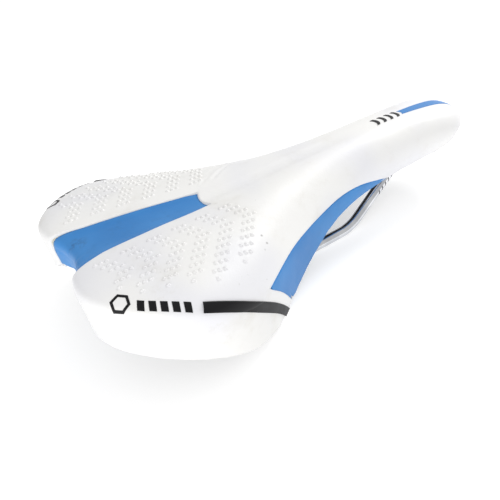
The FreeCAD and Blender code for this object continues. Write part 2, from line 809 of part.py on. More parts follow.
clipUnder = "Sizes.rail_nose_height - Sizes.clip_thickness"
screwUnder = clipUnder + " - Sizes.screw_head_height"
blockFront = "Sizes.nose_block_rear + Sizes.nose_block_length"
screwShank = addCylinder(
    "ScrewShank",
    "Sizes.screw_diameter / 2",
    "Sizes.screw_length",
    ("Sizes.screw_place", "0", clipUnder),
)
screwHead = addCylinder(
    "ScrewHead",
    "Sizes.screw_head_diameter / 2",
    "Sizes.screw_head_height",
    ("Sizes.screw_place", "0", screwUnder),
)
hexKey = doc.addObject("Part::Prism", "HexKey")
hexKey.Polygon = 6
hexKey.setExpression("Circumradius", "Sizes.key_radius")
hexKey.setExpression("Height", "Sizes.key_depth")
hexKey.setExpression("Placement.Base.x", "Sizes.screw_place")
hexKey.setExpression("Placement.Base.z", screwUnder)
wholeScrew = combine("Part::MultiFuse", "WholeScrew", [screwShank, screwHead])
piece("nose_clip_screw", cut("NoseClipScrew", wholeScrew, hexKey))

noseBlock = addBox(
    "NoseBlock",
    ("Sizes.nose_block_rear", "-Sizes.nose_block_width / 2", "Sizes.rail_nose_height"),
    (blockFront, "Sizes.nose_block_width / 2", "Sizes.beak_crest - Sizes.foam_crown"),
)
noseTools = combine("Part::MultiFuse", "NoseTools", [wholeSaddle, rail, screwShank])
piece("nose_socket", cut("NoseSocket", noseBlock, noseTools))
clipPlate = addBox(
    "ClipPlate",
    (blockFront + " - Sizes.clip_length", "-Sizes.clip_width / 2", clipUnder),
    (blockFront, "Sizes.clip_width / 2", "Sizes.rail_nose_height"),
)
doc.recompute()
clipRounded = doc.addObject("Part::Fillet", "ClipRounded")
clipRounded.Base = clipPlate
clipRound = size("clip_round")
uprights = [n for n, edge in enumerate(clipPlate.Shape.Edges, 1) if edge.BoundBox.ZLength > 1]
clipRounded.Edges = [(number, clipRound, clipRound) for number in uprights]
clipTools = combine("Part::MultiFuse", "ClipTools", [rail, screwShank])
piece("nose_clip", cut("NoseClip", clipRounded, clipTools))

# ---- staples through the hem ---------------------------------------------------------------------------


def hemStaples():
    """Flat staples along the turned-in hem, evenly spaced round the rim."""
    staples = []
    wire = size("staple_wire")
    width = size("staple_width")
    inset = size("staple_inset")
    for stretch, (start, end) in rimStretches.items():
        length = outline.length(min(start, end), max(start, end))
        count = int(length / size("staple_pitch"))
        for number in range(count):
            share = (number + 0.5) / count
            middle = rimPoint(stretch, share, inset)
            ahead = rimPoint(stretch, share + 0.01, inset)
            for point in (middle, ahead):
                point.z = hemHeight(stretch, point) - cover
            along = (ahead - middle).normalize()
            if abs(middle.y) < size("channel_rear_width") / 2 + width and stretch == "rear":
                continue
            staple = Part.makeBox(width, wire, wire, Vector(-width / 2, -wire / 2, -wire))
            turned = Rotation(along, UP.cross(along), UP, "XZY")
            staple.Placement = Placement(middle, turned)
            staples.append(staple)
    return Part.makeCompound(staples)


staples = doc.addObject("Part::Feature", "CoverStaples")
staples.Shape = hemStaples()
staples.Placement = Placement()
piece("cover_staples", staples)

# ---- checks and files ----------------------------------------------------------------------------------

doc.recompute()
for item in doc.Objects:
    if "Invalid" in item.State or "Error" in item.State:
        raise RuntimeError(f"{item.Name} failed: {item.State}")
for made in pieces:
    if made.Shape.isNull() or not made.Shape.isValid() or not made.Shape.Solids:
        raise RuntimeError(f"{made.Label} has no valid solid")

os.makedirs("parts", exist_ok=True)
for made in pieces:
    made.Shape.exportStep(f"parts/{made.Label}.step")
    print(f"{made.Label}: {len(made.Shape.Solids)} solid, {made.Shape.Volume / 1000:.2f} cm3")
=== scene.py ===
import json
import math
import bpy
import numpy as np
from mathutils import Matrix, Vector
from mathutils.bvhtree import BVHTree


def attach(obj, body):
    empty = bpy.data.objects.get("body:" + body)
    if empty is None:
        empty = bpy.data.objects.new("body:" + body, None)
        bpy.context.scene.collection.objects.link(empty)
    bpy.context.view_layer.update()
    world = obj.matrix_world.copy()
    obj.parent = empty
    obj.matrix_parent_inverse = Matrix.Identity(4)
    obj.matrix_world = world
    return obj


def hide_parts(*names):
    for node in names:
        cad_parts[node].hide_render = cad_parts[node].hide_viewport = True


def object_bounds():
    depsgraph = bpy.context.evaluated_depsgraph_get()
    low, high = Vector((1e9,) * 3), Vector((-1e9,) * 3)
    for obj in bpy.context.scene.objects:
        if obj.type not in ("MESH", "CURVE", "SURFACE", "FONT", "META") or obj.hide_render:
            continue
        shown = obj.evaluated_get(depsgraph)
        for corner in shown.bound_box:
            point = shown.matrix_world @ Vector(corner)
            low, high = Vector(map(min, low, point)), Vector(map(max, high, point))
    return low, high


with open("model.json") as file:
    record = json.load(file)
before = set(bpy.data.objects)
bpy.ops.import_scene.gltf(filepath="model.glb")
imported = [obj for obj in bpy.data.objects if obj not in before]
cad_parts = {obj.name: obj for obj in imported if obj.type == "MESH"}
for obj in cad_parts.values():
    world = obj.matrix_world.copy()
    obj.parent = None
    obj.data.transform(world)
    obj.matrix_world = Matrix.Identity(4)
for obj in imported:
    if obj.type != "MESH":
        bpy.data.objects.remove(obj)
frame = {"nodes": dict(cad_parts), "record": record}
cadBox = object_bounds()
mm = 0.001
nodes = frame["nodes"]
print("frame loaded:", len(nodes), "nodes")


# camera

camera = {
    "place": (-0.14623, -0.24507, 0.22464),
    "turn": (50.596, 7.630, -32.788),
    "lens": 39.78,
    "sensor": 36,
}


def makeCamera():
    bpy.ops.object.camera_add(location=camera["place"])
    made = bpy.context.object
    made.name = "camera"
    made.rotation_euler = [math.radians(angle) for angle in camera["turn"]]
    made.data.lens = camera["lens"]
    made.data.sensor_width = camera["sensor"]
    made.data.clip_start = 0.01
    bpy.context.scene.camera = made


# small helpers


def selectNone():
    if bpy.context.object and bpy.context.object.mode != "OBJECT":
        bpy.ops.object.mode_set(mode="OBJECT")
    bpy.ops.object.select_all(action="DESELECT")


def makeActive(*things):
    selectNone()
    for thing in things:
        thing.select_set(True)
    bpy.context.view_layer.objects.active = things[0]


def points(thing):
    flat = np.zeros(len(thing.data.vertices) * 3)
    thing.data.vertices.foreach_get("co", flat)
    return flat.reshape(-1, 3)


def setPoints(thing, places):
    thing.data.vertices.foreach_set("co", np.asarray(places, float).ravel())
    thing.data.update()


def pointNormals(thing):
    flat = np.zeros(len(thing.data.vertices) * 3)
    thing.data.vertex_normals.foreach_get("vector", flat)
    return flat.reshape(-1, 3)


def edgePairs(thing):
    flat = np.zeros(len(thing.data.edges) * 2, int)
    thing.data.edges.foreach_get("vertices", flat)
    return flat.reshape(-1, 2)


def softStep(value):
    value = np.clip(value, 0, 1)
    return value * value * (3 - 2 * value)


def gridPiece(name, table):
    # a grid primitive whose corners are then moved to the places in the table
    across, along = table.shape[:2]
    selectNone()
    bpy.ops.mesh.primitive_grid_add(x_subdivisions=along - 1, y_subdivisions=across - 1, size=1)
    made = bpy.context.object
    made.name = name
    made.data.name = name
    setPoints(made, table.reshape(-1, 3))
    return made


def leaveEdit():
    bpy.ops.mesh.select_all(action="DESELECT")
    bpy.ops.object.mode_set(mode="OBJECT")


def editOnly(thing, kind, chosen):
    # opens the piece for editing with only the chosen corners or faces selected
    makeActive(thing)
    bpy.ops.object.mode_set(mode="EDIT")
    bpy.ops.mesh.select_mode(type=kind)
    leaveEdit()
    parts = thing.data.vertices if kind == "VERT" else thing.data.polygons
    parts.foreach_set("select", chosen)
    bpy.ops.object.mode_set(mode="EDIT")


def closeUp(thing, reach):
    # neighbouring corners are merged and every face is turned outwards
    makeActive(thing)
    bpy.ops.object.mode_set(mode="EDIT")
    bpy.ops.mesh.select_all(action="SELECT")
    bpy.ops.mesh.remove_doubles(threshold=reach)
    bpy.ops.mesh.normals_make_consistent(inside=False)
    leaveEdit()


def relax(thing, rounds, held=None):
    # irons out the facets without shrinking the form: one step in, one slightly longer step out
    places = points(thing)
    pairs = edgePairs(thing)
    count = len(places)
    ends = np.concatenate([pairs[:, 0], pairs[:, 1]])
    others = np.concatenate([pairs[:, 1], pairs[:, 0]])
    ways = np.bincount(ends, minlength=count)[:, None]
    free = np.ones((count, 1)) if held is None else (~held).astype(float)[:, None]
    for turn in range(rounds):
        for share in (0.5, -0.52):
            moved = np.zeros_like(places)
            for axis in range(3):
                moved[:, axis] = np.bincount(ends, weights=places[others, axis], minlength=count)
            places += share * free * (moved / np.maximum(ways, 1) - places)
    setPoints(thing, places)


# the saddle's own surface

surfaceMap = {
    "skins": ["cover_main", "channel_liner", "side_panel_left", "side_panel_right"],
    "rearCentre": -85 * mm,
    "noseCentre": 116 * mm,
    "centreHeights": [(-0.133, 0.047), (-0.095, 0.040), (-0.055, 0.030), (-0.015, 0.031),
                      (0.030, 0.0375), (0.075, 0.0385), (0.146, 0.0385)],
    "sideColumns": 182,
    "rearColumns": 100,
    "noseColumns": 44,
    "rows": 112,
    "hemRows": 9,
    "hemWidth": 6 * mm,
    "hemRoll": 0.44 * mm,
    "hemRollShare": 0.25,
    "tilts": (90, -55),
    "rays": 260,
    "rayStart": 300 * mm,
    "linerSink": 1.4 * mm,
    "gap": 6 * mm,
    "steepness": 0.6,
    "leastDrop": 0.002 * mm,
    "hemHalvings": 10,
    "easing": 26,
}


def treeOf(thing):
    # the piece's faces, ready for rays
    corners = [v.co.copy() for v in thing.data.vertices]
    return BVHTree.FromPolygons(corners, [list(face.vertices) for face in thing.data.polygons])


def skinTrees():
    return {name: treeOf(nodes[name]) for name in surfaceMap["skins"]}


def centreHeight(along):
    places, heights = zip(*surfaceMap["centreHeights"])
    return float(np.interp(along, places, heights))


def firstHit(trees, start, way):
    best = None
    for name, tree in trees.items():
        place, normal, index, far = tree.ray_cast(start, way)
        if place is not None and (best is None or far < best[0]):
            best = (far, place, normal, name)
    return best


def columnLine(trees, middle, heading):
    # the saddle's outline in one upright plane, from the crown out and down to the skirt's lowest point
    outward = Vector((math.cos(heading), math.sin(heading), 0))

    def probe(tilt):
        way = outward * math.cos(tilt) + Vector((0, 0, math.sin(tilt)))
        found = firstHit(trees, middle + way * surfaceMap["rayStart"], -way)
        if found is None:
            return None
        far, place, normal, name = found
        return place + normal * surfaceMap["linerSink"] if name == "channel_liner" else place

    def goesDown(start, place):
        # true on the way down the skirt, false on the flat underside of the hem
        inward = max((start - place).dot(outward), 0)
        return start.z - place.z > inward * surfaceMap["steepness"] + surfaceMap["leastDrop"]

    line, tilts = [], []
    lowest = 0
    upright, under = (math.radians(angle) for angle in surfaceMap["tilts"])
    for tilt in np.linspace(upright, under, surfaceMap["rays"]):
        place = probe(tilt)
        if place is None and not line:
            continue
        if place is None or (line and (place - line[-1]).length > surfaceMap["gap"]):
            break
        line.append(place)
        tilts.append(tilt)
        if goesDown(line[lowest], place):
            lowest = len(line) - 1
    line = line[:lowest + 1]
    high, low = tilts[lowest], tilts[lowest] - (upright - under) / surfaceMap["rays"]
    for turn in range(surfaceMap["hemHalvings"]):
        tilt = (high + low) / 2
        place = probe(tilt)
        if place and (place - line[-1]).length < surfaceMap["gap"] and goesDown(line[-1], place):
            line[-1] = place
            high = tilt
        else:
            low = tilt
    return np.array(line)


def spread(line, count):
    steps = np.linalg.norm(np.diff(line, axis=0), axis=1)
    run = np.concatenate([[0], np.cumsum(steps)])
    wanted = np.linspace(0, run[-1], count)
    return np.stack([np.interp(wanted, run, line[:, axis]) for axis in range(3)], axis=1)


def rounded(line, rounds):
    # the corner between the top and the skirt is eased, the line's ends stay
    line = line.copy()
    for turn in range(rounds):
        line[1:-1] += 0.5 * ((line[:-2] + line[2:]) / 2 - line[1:-1])
    return line


def columnPlaces():
    # (middle, heading) of every column, right round the saddle from the tail along its left side
    made = []
    sides, rears, noses = (surfaceMap[k] for k in ("sideColumns", "rearColumns", "noseColumns"))
    rearX, noseX = surfaceMap["rearCentre"], surfaceMap["noseCentre"]
    for step in range(rears):
        made.append((rearX, math.radians(180 - 90 * step / rears)))
    for step in range(sides):
        made.append((rearX + (noseX - rearX) * step / sides, math.radians(90)))
    for step in range(noses + 1):
        made.append((noseX, math.radians(90 - 90 * step / noses)))
    half = made[1:-1]
    made += [(x, -heading) for x, heading in reversed(half)]
    return made


def surfaceTable():
    trees = skinTrees()
    table = []
    for along, heading in columnPlaces():
        middle = Vector((along, 0, centreHeight(along)))
        line = spread(columnLine(trees, middle, heading), surfaceMap["rows"])
        line = rounded(line, surfaceMap["easing"])
        inward = -np.array([math.cos(heading), math.sin(heading), 0])
        hem = []
        for step in range(1, surfaceMap["hemRows"] + 1):
            share = step / surfaceMap["hemRows"]
            turned = min(share / surfaceMap["hemRollShare"], 1) * math.pi / 2
            roll = surfaceMap["hemRoll"] * (1 - math.cos(turned))
            hem.append(line[-1] + inward * surfaceMap["hemWidth"] * share + np.array([0, 0, roll]))
        table.append(np.concatenate([line, np.array(hem)]))
    table.append(table[0])
    return np.array(table)


surface = surfaceTable()
print("surface mapped:", surface.shape)


# outlines of the inlays

channel = {
    "front": -46.2 * mm,
    "frontBow": 2.2 * mm,
    "outline": [(-138.5, 21.0), (-112.0, 14.4), (-46.2, 8.2)],
    "depth": 1.9 * mm,
    "wall": 0.8 * mm,
    "lip": 1.2 * mm,
    "lipDrop": 0.25 * mm,
}
panel = {
    "top": [(69, 25), (49, 31.4), (25, 33.3), (0, 32.7), (-25, 33.8), (-49, 32.3)],
    "end": [(-41.3, 23.1), (-28.5, 1)],
    "topSlope": 0.95,
    "endSlope": 0.9,
    "span": (-60 * mm, 75 * mm),
    "heights": (0, 33.5 * mm),
    "front": 71.5 * mm,
    "flankFrom": 20 * mm,
    "depth": 1.0 * mm,
    "wall": 0.5 * mm,
    "lip": 0.8 * mm,
    "lipDrop": 0.25 * mm,
}


def smoothLine(values):
    # natural cubic through the given points, as a function of the first coordinate
    xs, ys = np.array(sorted(values), float).T * mm
    n = len(xs)
    gaps = np.diff(xs)
    matrix = np.eye(n)
    right = np.zeros(n)
    for i in range(1, n - 1):
        matrix[i, i - 1:i + 2] = gaps[i - 1], 2 * (gaps[i - 1] + gaps[i]), gaps[i]
        right[i] = 6 * ((ys[i + 1] - ys[i]) / gaps[i] - (ys[i] - ys[i - 1]) / gaps[i - 1])
    bends = np.linalg.solve(matrix, right)

    def at(x):
        x = np.asarray(x, float)
        i = np.clip(np.searchsorted(xs, x) - 1, 0, n - 2)
        a, b, g = xs[i + 1] - x, x - xs[i], gaps[i]
        curve = (bends[i] * a**3 + bends[i + 1] * b**3) / (6 * g)
        return curve + (ys[i] / g - bends[i] * g / 6) * a + (ys[i + 1] / g - bends[i + 1] * g / 6) * b
    return at


panelTop = smoothLine(panel["top"])
panelEnd = smoothLine([(z, x) for x, z in panel["end"] + [panel["top"][-1]]])


def channelHalf(x):
    # half the channel's width
    xs, halves = np.array(channel["outline"]).T * mm
    return np.interp(x, xs, halves)


def channelInside(places):
    # how far inside the channel's outline, negative outside it; its front end bows in
    x, y = places[:, 0], np.abs(places[:, 1])
    half = channelHalf(x)
    front = channel["front"] - channel["frontBow"] * np.clip(1 - (y / half)**2, 0, 1)
    return np.minimum(half - y, front - x)


def panelInside(places):
    # how far inside a side panel's outline, the same on both flanks
    x, y, z = places.T
    below = (panelTop(np.clip(x, *panel["span"])) - z) * panel["topSlope"]
    ahead = (x - panelEnd(np.clip(z, *panel["heights"]))) * panel["endSlope"]
    inside = np.minimum(np.minimum(below, ahead), panel["front"] - x)
    return np.where(np.abs(y) < panel["flankFrom"], -1, inside)


def recess(distance, kind):
    # depth of the bed that an inlay lies in, with a rolled lip just outside it
    bed = kind["depth"] * softStep(distance / kind["wall"])
    lip = kind["lipDrop"] * np.clip(1 + distance / kind["lip"], 0, 1)**2
    return np.where(distance > 0, bed + kind["lipDrop"], lip)


# cover

cover = {
    "thickness": 0.9 * mm,
    "merge": 0.02 * mm,
    "topLow": 30 * mm,
    "crownLow": 40 * mm,
    "ironing": 26,
    "poleReach": 1.5 * mm,
    "edgeBand": 2.4 * mm,
    "edgeCuts": 2,
    "flange": 2.6 * mm,
    "groups": 6,
    "groupPitch": 14.63 * mm,
    "groupStart": -119.1 * mm,
    "groupSide": 23.28 * mm,
    "groupDrift": -1.25 * mm,
    "dotPitch": 3.0 * mm,
    "rowPitch": 4.38 * mm,
    "rowLead": 2.47 * mm,
    "rowReturn": -3.35 * mm,
    "turnRow": 3,
    "rowsAfterTurn": [1, 3, 4, 5, 6, 5],
    "dotsInRow": 3,
    "dotRadius": 1.2 * mm,
    "dotHeight": 0.95 * mm,
    "dotPeak": 1.4,
    "dotMargin": 1.1,
    "dotCuts": 3,
    "dotsFrom": 15 * mm,
    "valleyDepth": 0.7 * mm,
    "valleyHalf": 6.2 * mm,
    "valleyWall": 4.6 * mm,
    "valleyStart": -52 * mm,
    "valleyEnd": 62 * mm,
    "valleyRise": 6 * mm,
    "valleyFade": 40 * mm,
    "unevenness": 0.11 * mm,
    "waveSize": 17 * mm,
    "foldDepth": 0.3 * mm,
    "foldWidth": 1.0 * mm,
    "foldBank": 0.8,
    "foldBankPlace": 1.6,
    "folds": [
        [(-41, 13.5), (-36, 16.7), (-32, 19.3), (-25.8, 22.9), (-16, 28)],
        [(-37.5, 18.5), (-29.5, 22.5), (-21, 27.5)],
        [(-33, 13.5), (-26, 18), (-17, 22.5), (-8, 25)],
    ],
}


def dotPlaces():
    made = []
    for group in range(cover["groups"]):
        last = cover["turnRow"] + cover["rowsAfterTurn"][group]
        for row in range(last + 2):
            lead = cover["rowLead"] * min(row, cover["turnRow"])
            lead += cover["rowReturn"] * max(row - cover["turnRow"], 0)
            side = cover["groupSide"] + cover["groupDrift"] * group + cover["rowPitch"] * row
            for number in range(cover["dotsInRow"]):
                if row == last + 1 and number != 1:
                    continue  # each group ends with one dot
                along = cover["groupStart"] + cover["groupPitch"] * group + cover["dotPitch"] * number
                made += [(along + lead, side), (along + lead, -side)]
    return np.array(made)


dots = dotPlaces()


def dotDistance(places):
    # distance in plan to the nearest embossed dot
    nearest = np.full(len(places), 1.0)
    reach = (places[:, 0] < 0) & (np.abs(places[:, 1]) > cover["dotsFrom"])
    reach &= places[:, 2] > cover["topLow"]
    chosen = places[reach][:, :2]
    best = np.full(len(chosen), 1.0)
    for dot in dots:
        best = np.minimum(best, np.hypot(chosen[:, 0] - dot[0], chosen[:, 1] - dot[1]))
    nearest[reach] = best
    return nearest


def lineDistance(places, line):
    # distance in plan to a line of straight runs
    best = np.full(len(places), 1.0)
    for start, end in zip(line[:-1], line[1:]):
        start, end = np.array(start) * mm, np.array(end) * mm
        way = end - start
        share = np.clip(((places[:, :2] - start) @ way) / (way @ way), 0, 1)
        foot = start + share[:, None] * way
        best = np.minimum(best, np.hypot(*(places[:, :2] - foot).T))
    return best


def unevenness(places):
    # slow dents and swellings of hand-laid foam and skin
    x, y, z = (places / cover["waveSize"]).T
    wave = np.sin(x * 1.3 + np.sin(y * 1.1)) * np.cos(y * 1.7 + 0.6 * np.sin(z * 1.9 + 0.4))
    wave += 0.6 * np.sin(x * 2.9 + y * 2.3 + 1.1) * np.cos(z * 2.1 - x * 0.7)
    return wave * cover["unevenness"]


def reliefs(places):
    # everything that stands out of the cover or is pressed into it
    x, y, z = places.T
    height = unevenness(places)
    height -= recess(channelInside(places), channel) + recess(panelInside(places), panel)
    fade = softStep((x - cover["valleyStart"]) / cover["valleyRise"])
    fade *= softStep((cover["valleyEnd"] - x) / cover["valleyFade"])
    walls = softStep((cover["valleyHalf"] - np.abs(y)) / cover["valleyWall"])
    height -= cover["valleyDepth"] * fade * walls * (z > cover["crownLow"])
    share = np.clip(1 - (dotDistance(places) / cover["dotRadius"])**2, 0, 1)
    height += cover["dotHeight"] * share**cover["dotPeak"]
    for fold in cover["folds"]:
        far = lineDistance(places, fold) / cover["foldWidth"]
        bank = cover["foldBank"] * np.exp(-(far - cover["foldBankPlace"])**2)
        height += cover["foldDepth"] * (bank - np.exp(-far**2)) * (z > cover["topLow"])
    return height


def cutFiner(thing, chosen, cuts):
    # the faces round the chosen corners are divided
    editOnly(thing, "FACE", facesWith(thing, chosen, some=True))
    bpy.ops.mesh.subdivide(number_cuts=cuts)
    leaveEdit()


def facesWith(thing, chosen, some):
    found = []
    for face in thing.data.polygons:
        flags = [chosen[index] for index in face.vertices]
        found.append(any(flags) if some else all(flags))
    return found


def cutAway(thing, chosen):
    # the faces whose corners are all chosen are removed
    editOnly(thing, "FACE", facesWith(thing, chosen, some=False))
    bpy.ops.mesh.delete(type="FACE")
    leaveEdit()


def thicken(thing, thickness, offset=-1):
    makeActive(thing)
    wall = thing.modifiers.new("wall", "SOLIDIFY")
    wall.thickness = thickness
    wall.offset = offset
    bpy.ops.object.modifier_apply(modifier="wall")


def smoothed(thing, angle=180):
    makeActive(thing)
    if angle >= 180:
        bpy.ops.object.shade_smooth()
    else:
        bpy.ops.object.shade_smooth_by_angle(angle=math.radians(angle))


def finishPiece(thing, material, slot, *replaced):
    thing.data.materials.clear()
    thing.data.materials.append(material)
    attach(thing, "root")
    if replaced:
        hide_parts(*replaced)


def gatherPole(thing, along, reach):
    # the crowded place where the columns meet on the crown becomes one corner
    places = points(thing)
    near = (np.hypot(places[:, 0] - along, places[:, 1]) < reach) & (places[:, 2] > cover["crownLow"])
    editOnly(thing, "VERT", near)
    bpy.ops.mesh.merge(type="CENTER")
    leaveEdit()


def makeCover():
    made = gridPiece("saddle_cover", surface)
    closeUp(made, cover["merge"])
    gatherPole(made, surfaceMap["noseCentre"], cover["poleReach"])
    closeUp(made, cover["merge"])
    relax(made, cover["ironing"])
    places = points(made)
    edges = np.minimum(np.abs(channelInside(places)), np.abs(panelInside(places)))
    cutFiner(made, edges < cover["edgeBand"], cover["edgeCuts"])
    nearDots = dotDistance(points(made)) < cover["dotRadius"] * cover["dotMargin"]
    cutFiner(made, nearDots, cover["dotCuts"])
    places = points(made)
    setPoints(made, places + pointNormals(made) * reliefs(places)[:, None])
    inside = np.maximum(channelInside(places), panelInside(places))
    cutAway(made, inside > cover["flange"])
    thicken(made, cover["thickness"])
    smoothed(made)
    return made


# blue inlays

liner = {
    "columns": 38,
    "rows": 150,
    "centreX": -85 * mm,
    "centreZ": 33 * mm,
    "tilts": (15, 205),
    "rays": 420,
    "rayStart": 200 * mm,
    "rayTrials": 4,
    "steepestSide": 0.6,
    "flattestFront": 0.5,
    "tailTilt": 150,
    "leastRise": 0.02 * mm,
    "edge": 0.985,
    "tuck": 1.0 * mm,
    "thickness": 0.8 * mm,
    "edgeRise": 0.75 * mm,
    "edgeRiseFrom": 0.55,
    "frontFade": 9 * mm,
    "easing": 40,
    "hem": 6 * mm,
    "hemRows": 6,
    "merge": 0.01 * mm,
    "ironing": 12,
    "creaseZ": 50 * mm,
    "creaseRise": 3.2 * mm,
    "creaseDepth": 0.25 * mm,
    "creaseWidth": 1.5 * mm,
    "creaseBehind": -110 * mm,
}


def linerLine(tree, share):
    # one line of the inlay from its front end over the tail and down, at a share of its half width
    line = []
    first, last = (math.radians(angle) for angle in liner["tilts"])
    for tilt in np.linspace(first, last, liner["rays"]):
        way = Vector((math.cos(tilt), 0, math.sin(tilt)))
        across = share * channelHalf(channel["front"])
        for turn in range(liner["rayTrials"]):
            centre = Vector((liner["centreX"], across, liner["centreZ"]))
            place, normal, index, far = tree.ray_cast(centre + way * liner["rayStart"], -way)
            if place is None:
                break
            across = share * channelHalf(place.x)
        if place is None or abs(normal.y) > liner["steepestSide"]:
            continue
        if tilt < math.pi / 2 and normal.z < liner["flattestFront"]:
            continue
        onTail = tilt > math.radians(liner["tailTilt"])
        if line and onTail and place.z > line[-1].z + liner["leastRise"]:
            continue
        line.append(place)
    return rounded(spread(np.array(line), liner["rows"]), liner["easing"])


def makeLiner():
    tree = treeOf(nodes["channel_liner"])
    shares = np.linspace(-liner["edge"], liner["edge"], liner["columns"])
    table = np.array([linerLine(tree, share) for share in shares])
    steps = np.linspace(0, 1, liner["hemRows"] + 1)[1:]
    hem = table[:, -1:] + np.array([[[liner["hem"] * step, 0, 0] for step in steps]])
    table = np.concatenate([table, hem], axis=1)
    made = gridPiece("channel_inlay", table)
    closeUp(made, liner["merge"])
    relax(made, liner["ironing"], held=borderPoints(made))
    places, normals = points(made), pointNormals(made)
    share = np.abs(places[:, 1]) / np.maximum(channelHalf(places[:, 0]), mm)
    level = liner["edgeRise"] * softStep((share - liner["edgeRiseFrom"]) / (1 - liner["edgeRiseFrom"]))
    level *= softStep((channel["front"] - places[:, 0]) / liner["frontFade"])
    far = (places[:, 2] - liner["creaseZ"] - liner["creaseRise"] * share**2) / liner["creaseWidth"]
    crease = liner["creaseDepth"] * np.exp(-far**2) * (places[:, 0] < liner["creaseBehind"])
    setPoints(made, places + normals * (level - crease)[:, None])
    tuckEdge(made, liner["tuck"])
    thicken(made, liner["thickness"])
    smoothed(made)
    return made


def borderPoints(thing):
    # true for corners on the piece's open edge
    uses = {}
    for face in thing.data.polygons:
        for key in face.edge_keys:
            uses[key] = uses.get(key, 0) + 1
    found = np.zeros(len(thing.data.vertices), bool)
    for key, count in uses.items():
        if count == 1:
            found[list(key)] = True
    return found


def tuckEdge(thing, reach):
    # the open edge is drawn out and down, under the neighbouring skin
    border = borderPoints(thing)
    normals = pointNormals(thing)[border]
    before = len(thing.data.vertices)
    old = points(thing)[border]
    makeActive(thing)
    bpy.ops.object.mode_set(mode="EDIT")
    bpy.ops.mesh.select_mode(type="EDGE")
    bpy.ops.mesh.select_non_manifold(extend=False)
    bpy.ops.mesh.extrude_edges_move()
    bpy.ops.object.mode_set(mode="OBJECT")
    places = points(thing)
    for index in range(before, len(places)):
        near = np.argmin(np.linalg.norm(old - places[index], axis=1))
        places[index] -= normals[near] * reach
    setPoints(thing, places)


sidePanel = {
    "rows": 46,
    "flankRow": 60,
    "merge": 0.05 * mm,
    "ironing": 20,
    "thickness": 0.7 * mm,
    "edgeDrop": 0.3 * mm,
    "edgeWidth": 1.0 * mm,
    "tuck": 0.8 * mm,
}


def makePanel(side):
    # the flank's columns between the panel's top line and the hem
    lastRow = surfaceMap["rows"] - 1
    row = sidePanel["flankRow"]
    columns = [c for c in surface[:-1] if c[row, 1] * side > panel["flankFrom"]]
    table = []
    for column in sorted(columns, key=lambda c: c[lastRow, 0]):
        flat = column.copy()
        flat[:, 1] = np.abs(flat[:, 1])
        values = panelInside(flat)
        inside = values > 0
        inside[lastRow + 1:] = False
        if inside.sum() < 2:
            continue
        first = int(np.argmax(inside))
        last = len(inside) - 1 - int(np.argmax(inside[::-1]))
        start = first - values[first] / max(values[first] - values[first - 1], 1e-9)
        if last >= lastRow:
            end = len(column) - 1.0
        else:
            end = last + values[last] / max(values[last] - values[last + 1], 1e-9)
        wanted = np.linspace(start, end, sidePanel["rows"])
        numbers = np.arange(len(column))
        table.append(np.stack([np.interp(wanted, numbers, column[:, k]) for k in range(3)], axis=1))
    made = gridPiece("side_inlay_left" if side > 0 else "side_inlay_right", np.array(table))
    closeUp(made, sidePanel["merge"])
    relax(made, sidePanel["ironing"], held=borderPoints(made))
    places, normals = points(made), pointNormals(made)
    drop = sidePanel["edgeDrop"] * (1 - softStep(panelInside(places) / sidePanel["edgeWidth"]))
    drop *= (places[:, 2] > 0)
    setPoints(made, places - normals * drop[:, None])
    tuckEdge(made, sidePanel["tuck"])
    thicken(made, sidePanel["thickness"])
    smoothed(made)
    return made


# printed marks on the wings: a six-sided ring and a row of leaning bars

emblem = {
    "ring": (-119.1, 53.0, 58.5),
    "ringRadius": 5.0 * mm,
    "ringLine": 1.5 * mm,
    "ringRows": 4,
    "ringSteps": 8,
    "bars": [(-111.9, 59.3, 57.2), (-107.5, 62.3, 56.4), (-103.1, 65.1, 55.5),
             (-98.6, 67.7, 54.3), (-94.0, 70.0, 52.8)],
    "barWidth": 3.4 * mm,
    "barHeight": 4.9 * mm,
    "barLean": 1.1 * mm,
    "barSteps": 9,
    "rayStart": 8 * mm,
    "stand": 0.09 * mm,
    "thickness": 0.12 * mm,
    "merge": 0.01 * mm,
    "sharp": 40,
}


def flatRing():
    turns = [math.radians(60 * k) for k in range(7)]
    corners = [np.array((math.cos(turn), math.sin(turn))) for turn in turns]
    shares = [step / emblem["ringSteps"] for step in range(emblem["ringSteps"])]
    rows = []
    inner = emblem["ringRadius"] - emblem["ringLine"]
    for radius in np.linspace(emblem["ringRadius"], inner, emblem["ringRows"]):
        row = []
        for start, end in zip(corners, corners[1:]):
            row += [(start + (end - start) * share) * radius for share in shares]
        rows.append(row + [corners[0] * radius])
    return np.array(rows)


def flatBar():
    rows = []
    for height in np.linspace(-0.5, 0.5, emblem["barSteps"]):
        shift = emblem["barLean"] * -height
        rows.append([(share * emblem["barWidth"] + shift, height * emblem["barHeight"])
                     for share in np.linspace(-0.5, 0.5, emblem["barSteps"])])
    return np.array(rows)


def laidOn(name, tree, flat, centre, ahead, side):
    # a flat shape laid on the cover: along the wing's edge, and from there towards the middle
    place, normal, index, far = tree.find_nearest(Vector(centre) * mm)
    along = (Vector(ahead) - normal * Vector(ahead).dot(normal)).normalized()
    inward = normal.cross(along) * -side
    table = np.zeros((*flat.shape[:2], 3))
    for spot in np.ndindex(flat.shape[:2]):
        start = place + along * flat[spot][0] + inward * flat[spot][1]
        found, facing, index, far = tree.ray_cast(start + normal * emblem["rayStart"], -normal)
        table[spot] = found + facing * emblem["stand"]
    made = gridPiece(name, table)
    closeUp(made, emblem["merge"])
    thicken(made, emblem["thickness"], 0)
    closeUp(made, emblem["merge"])
    return made


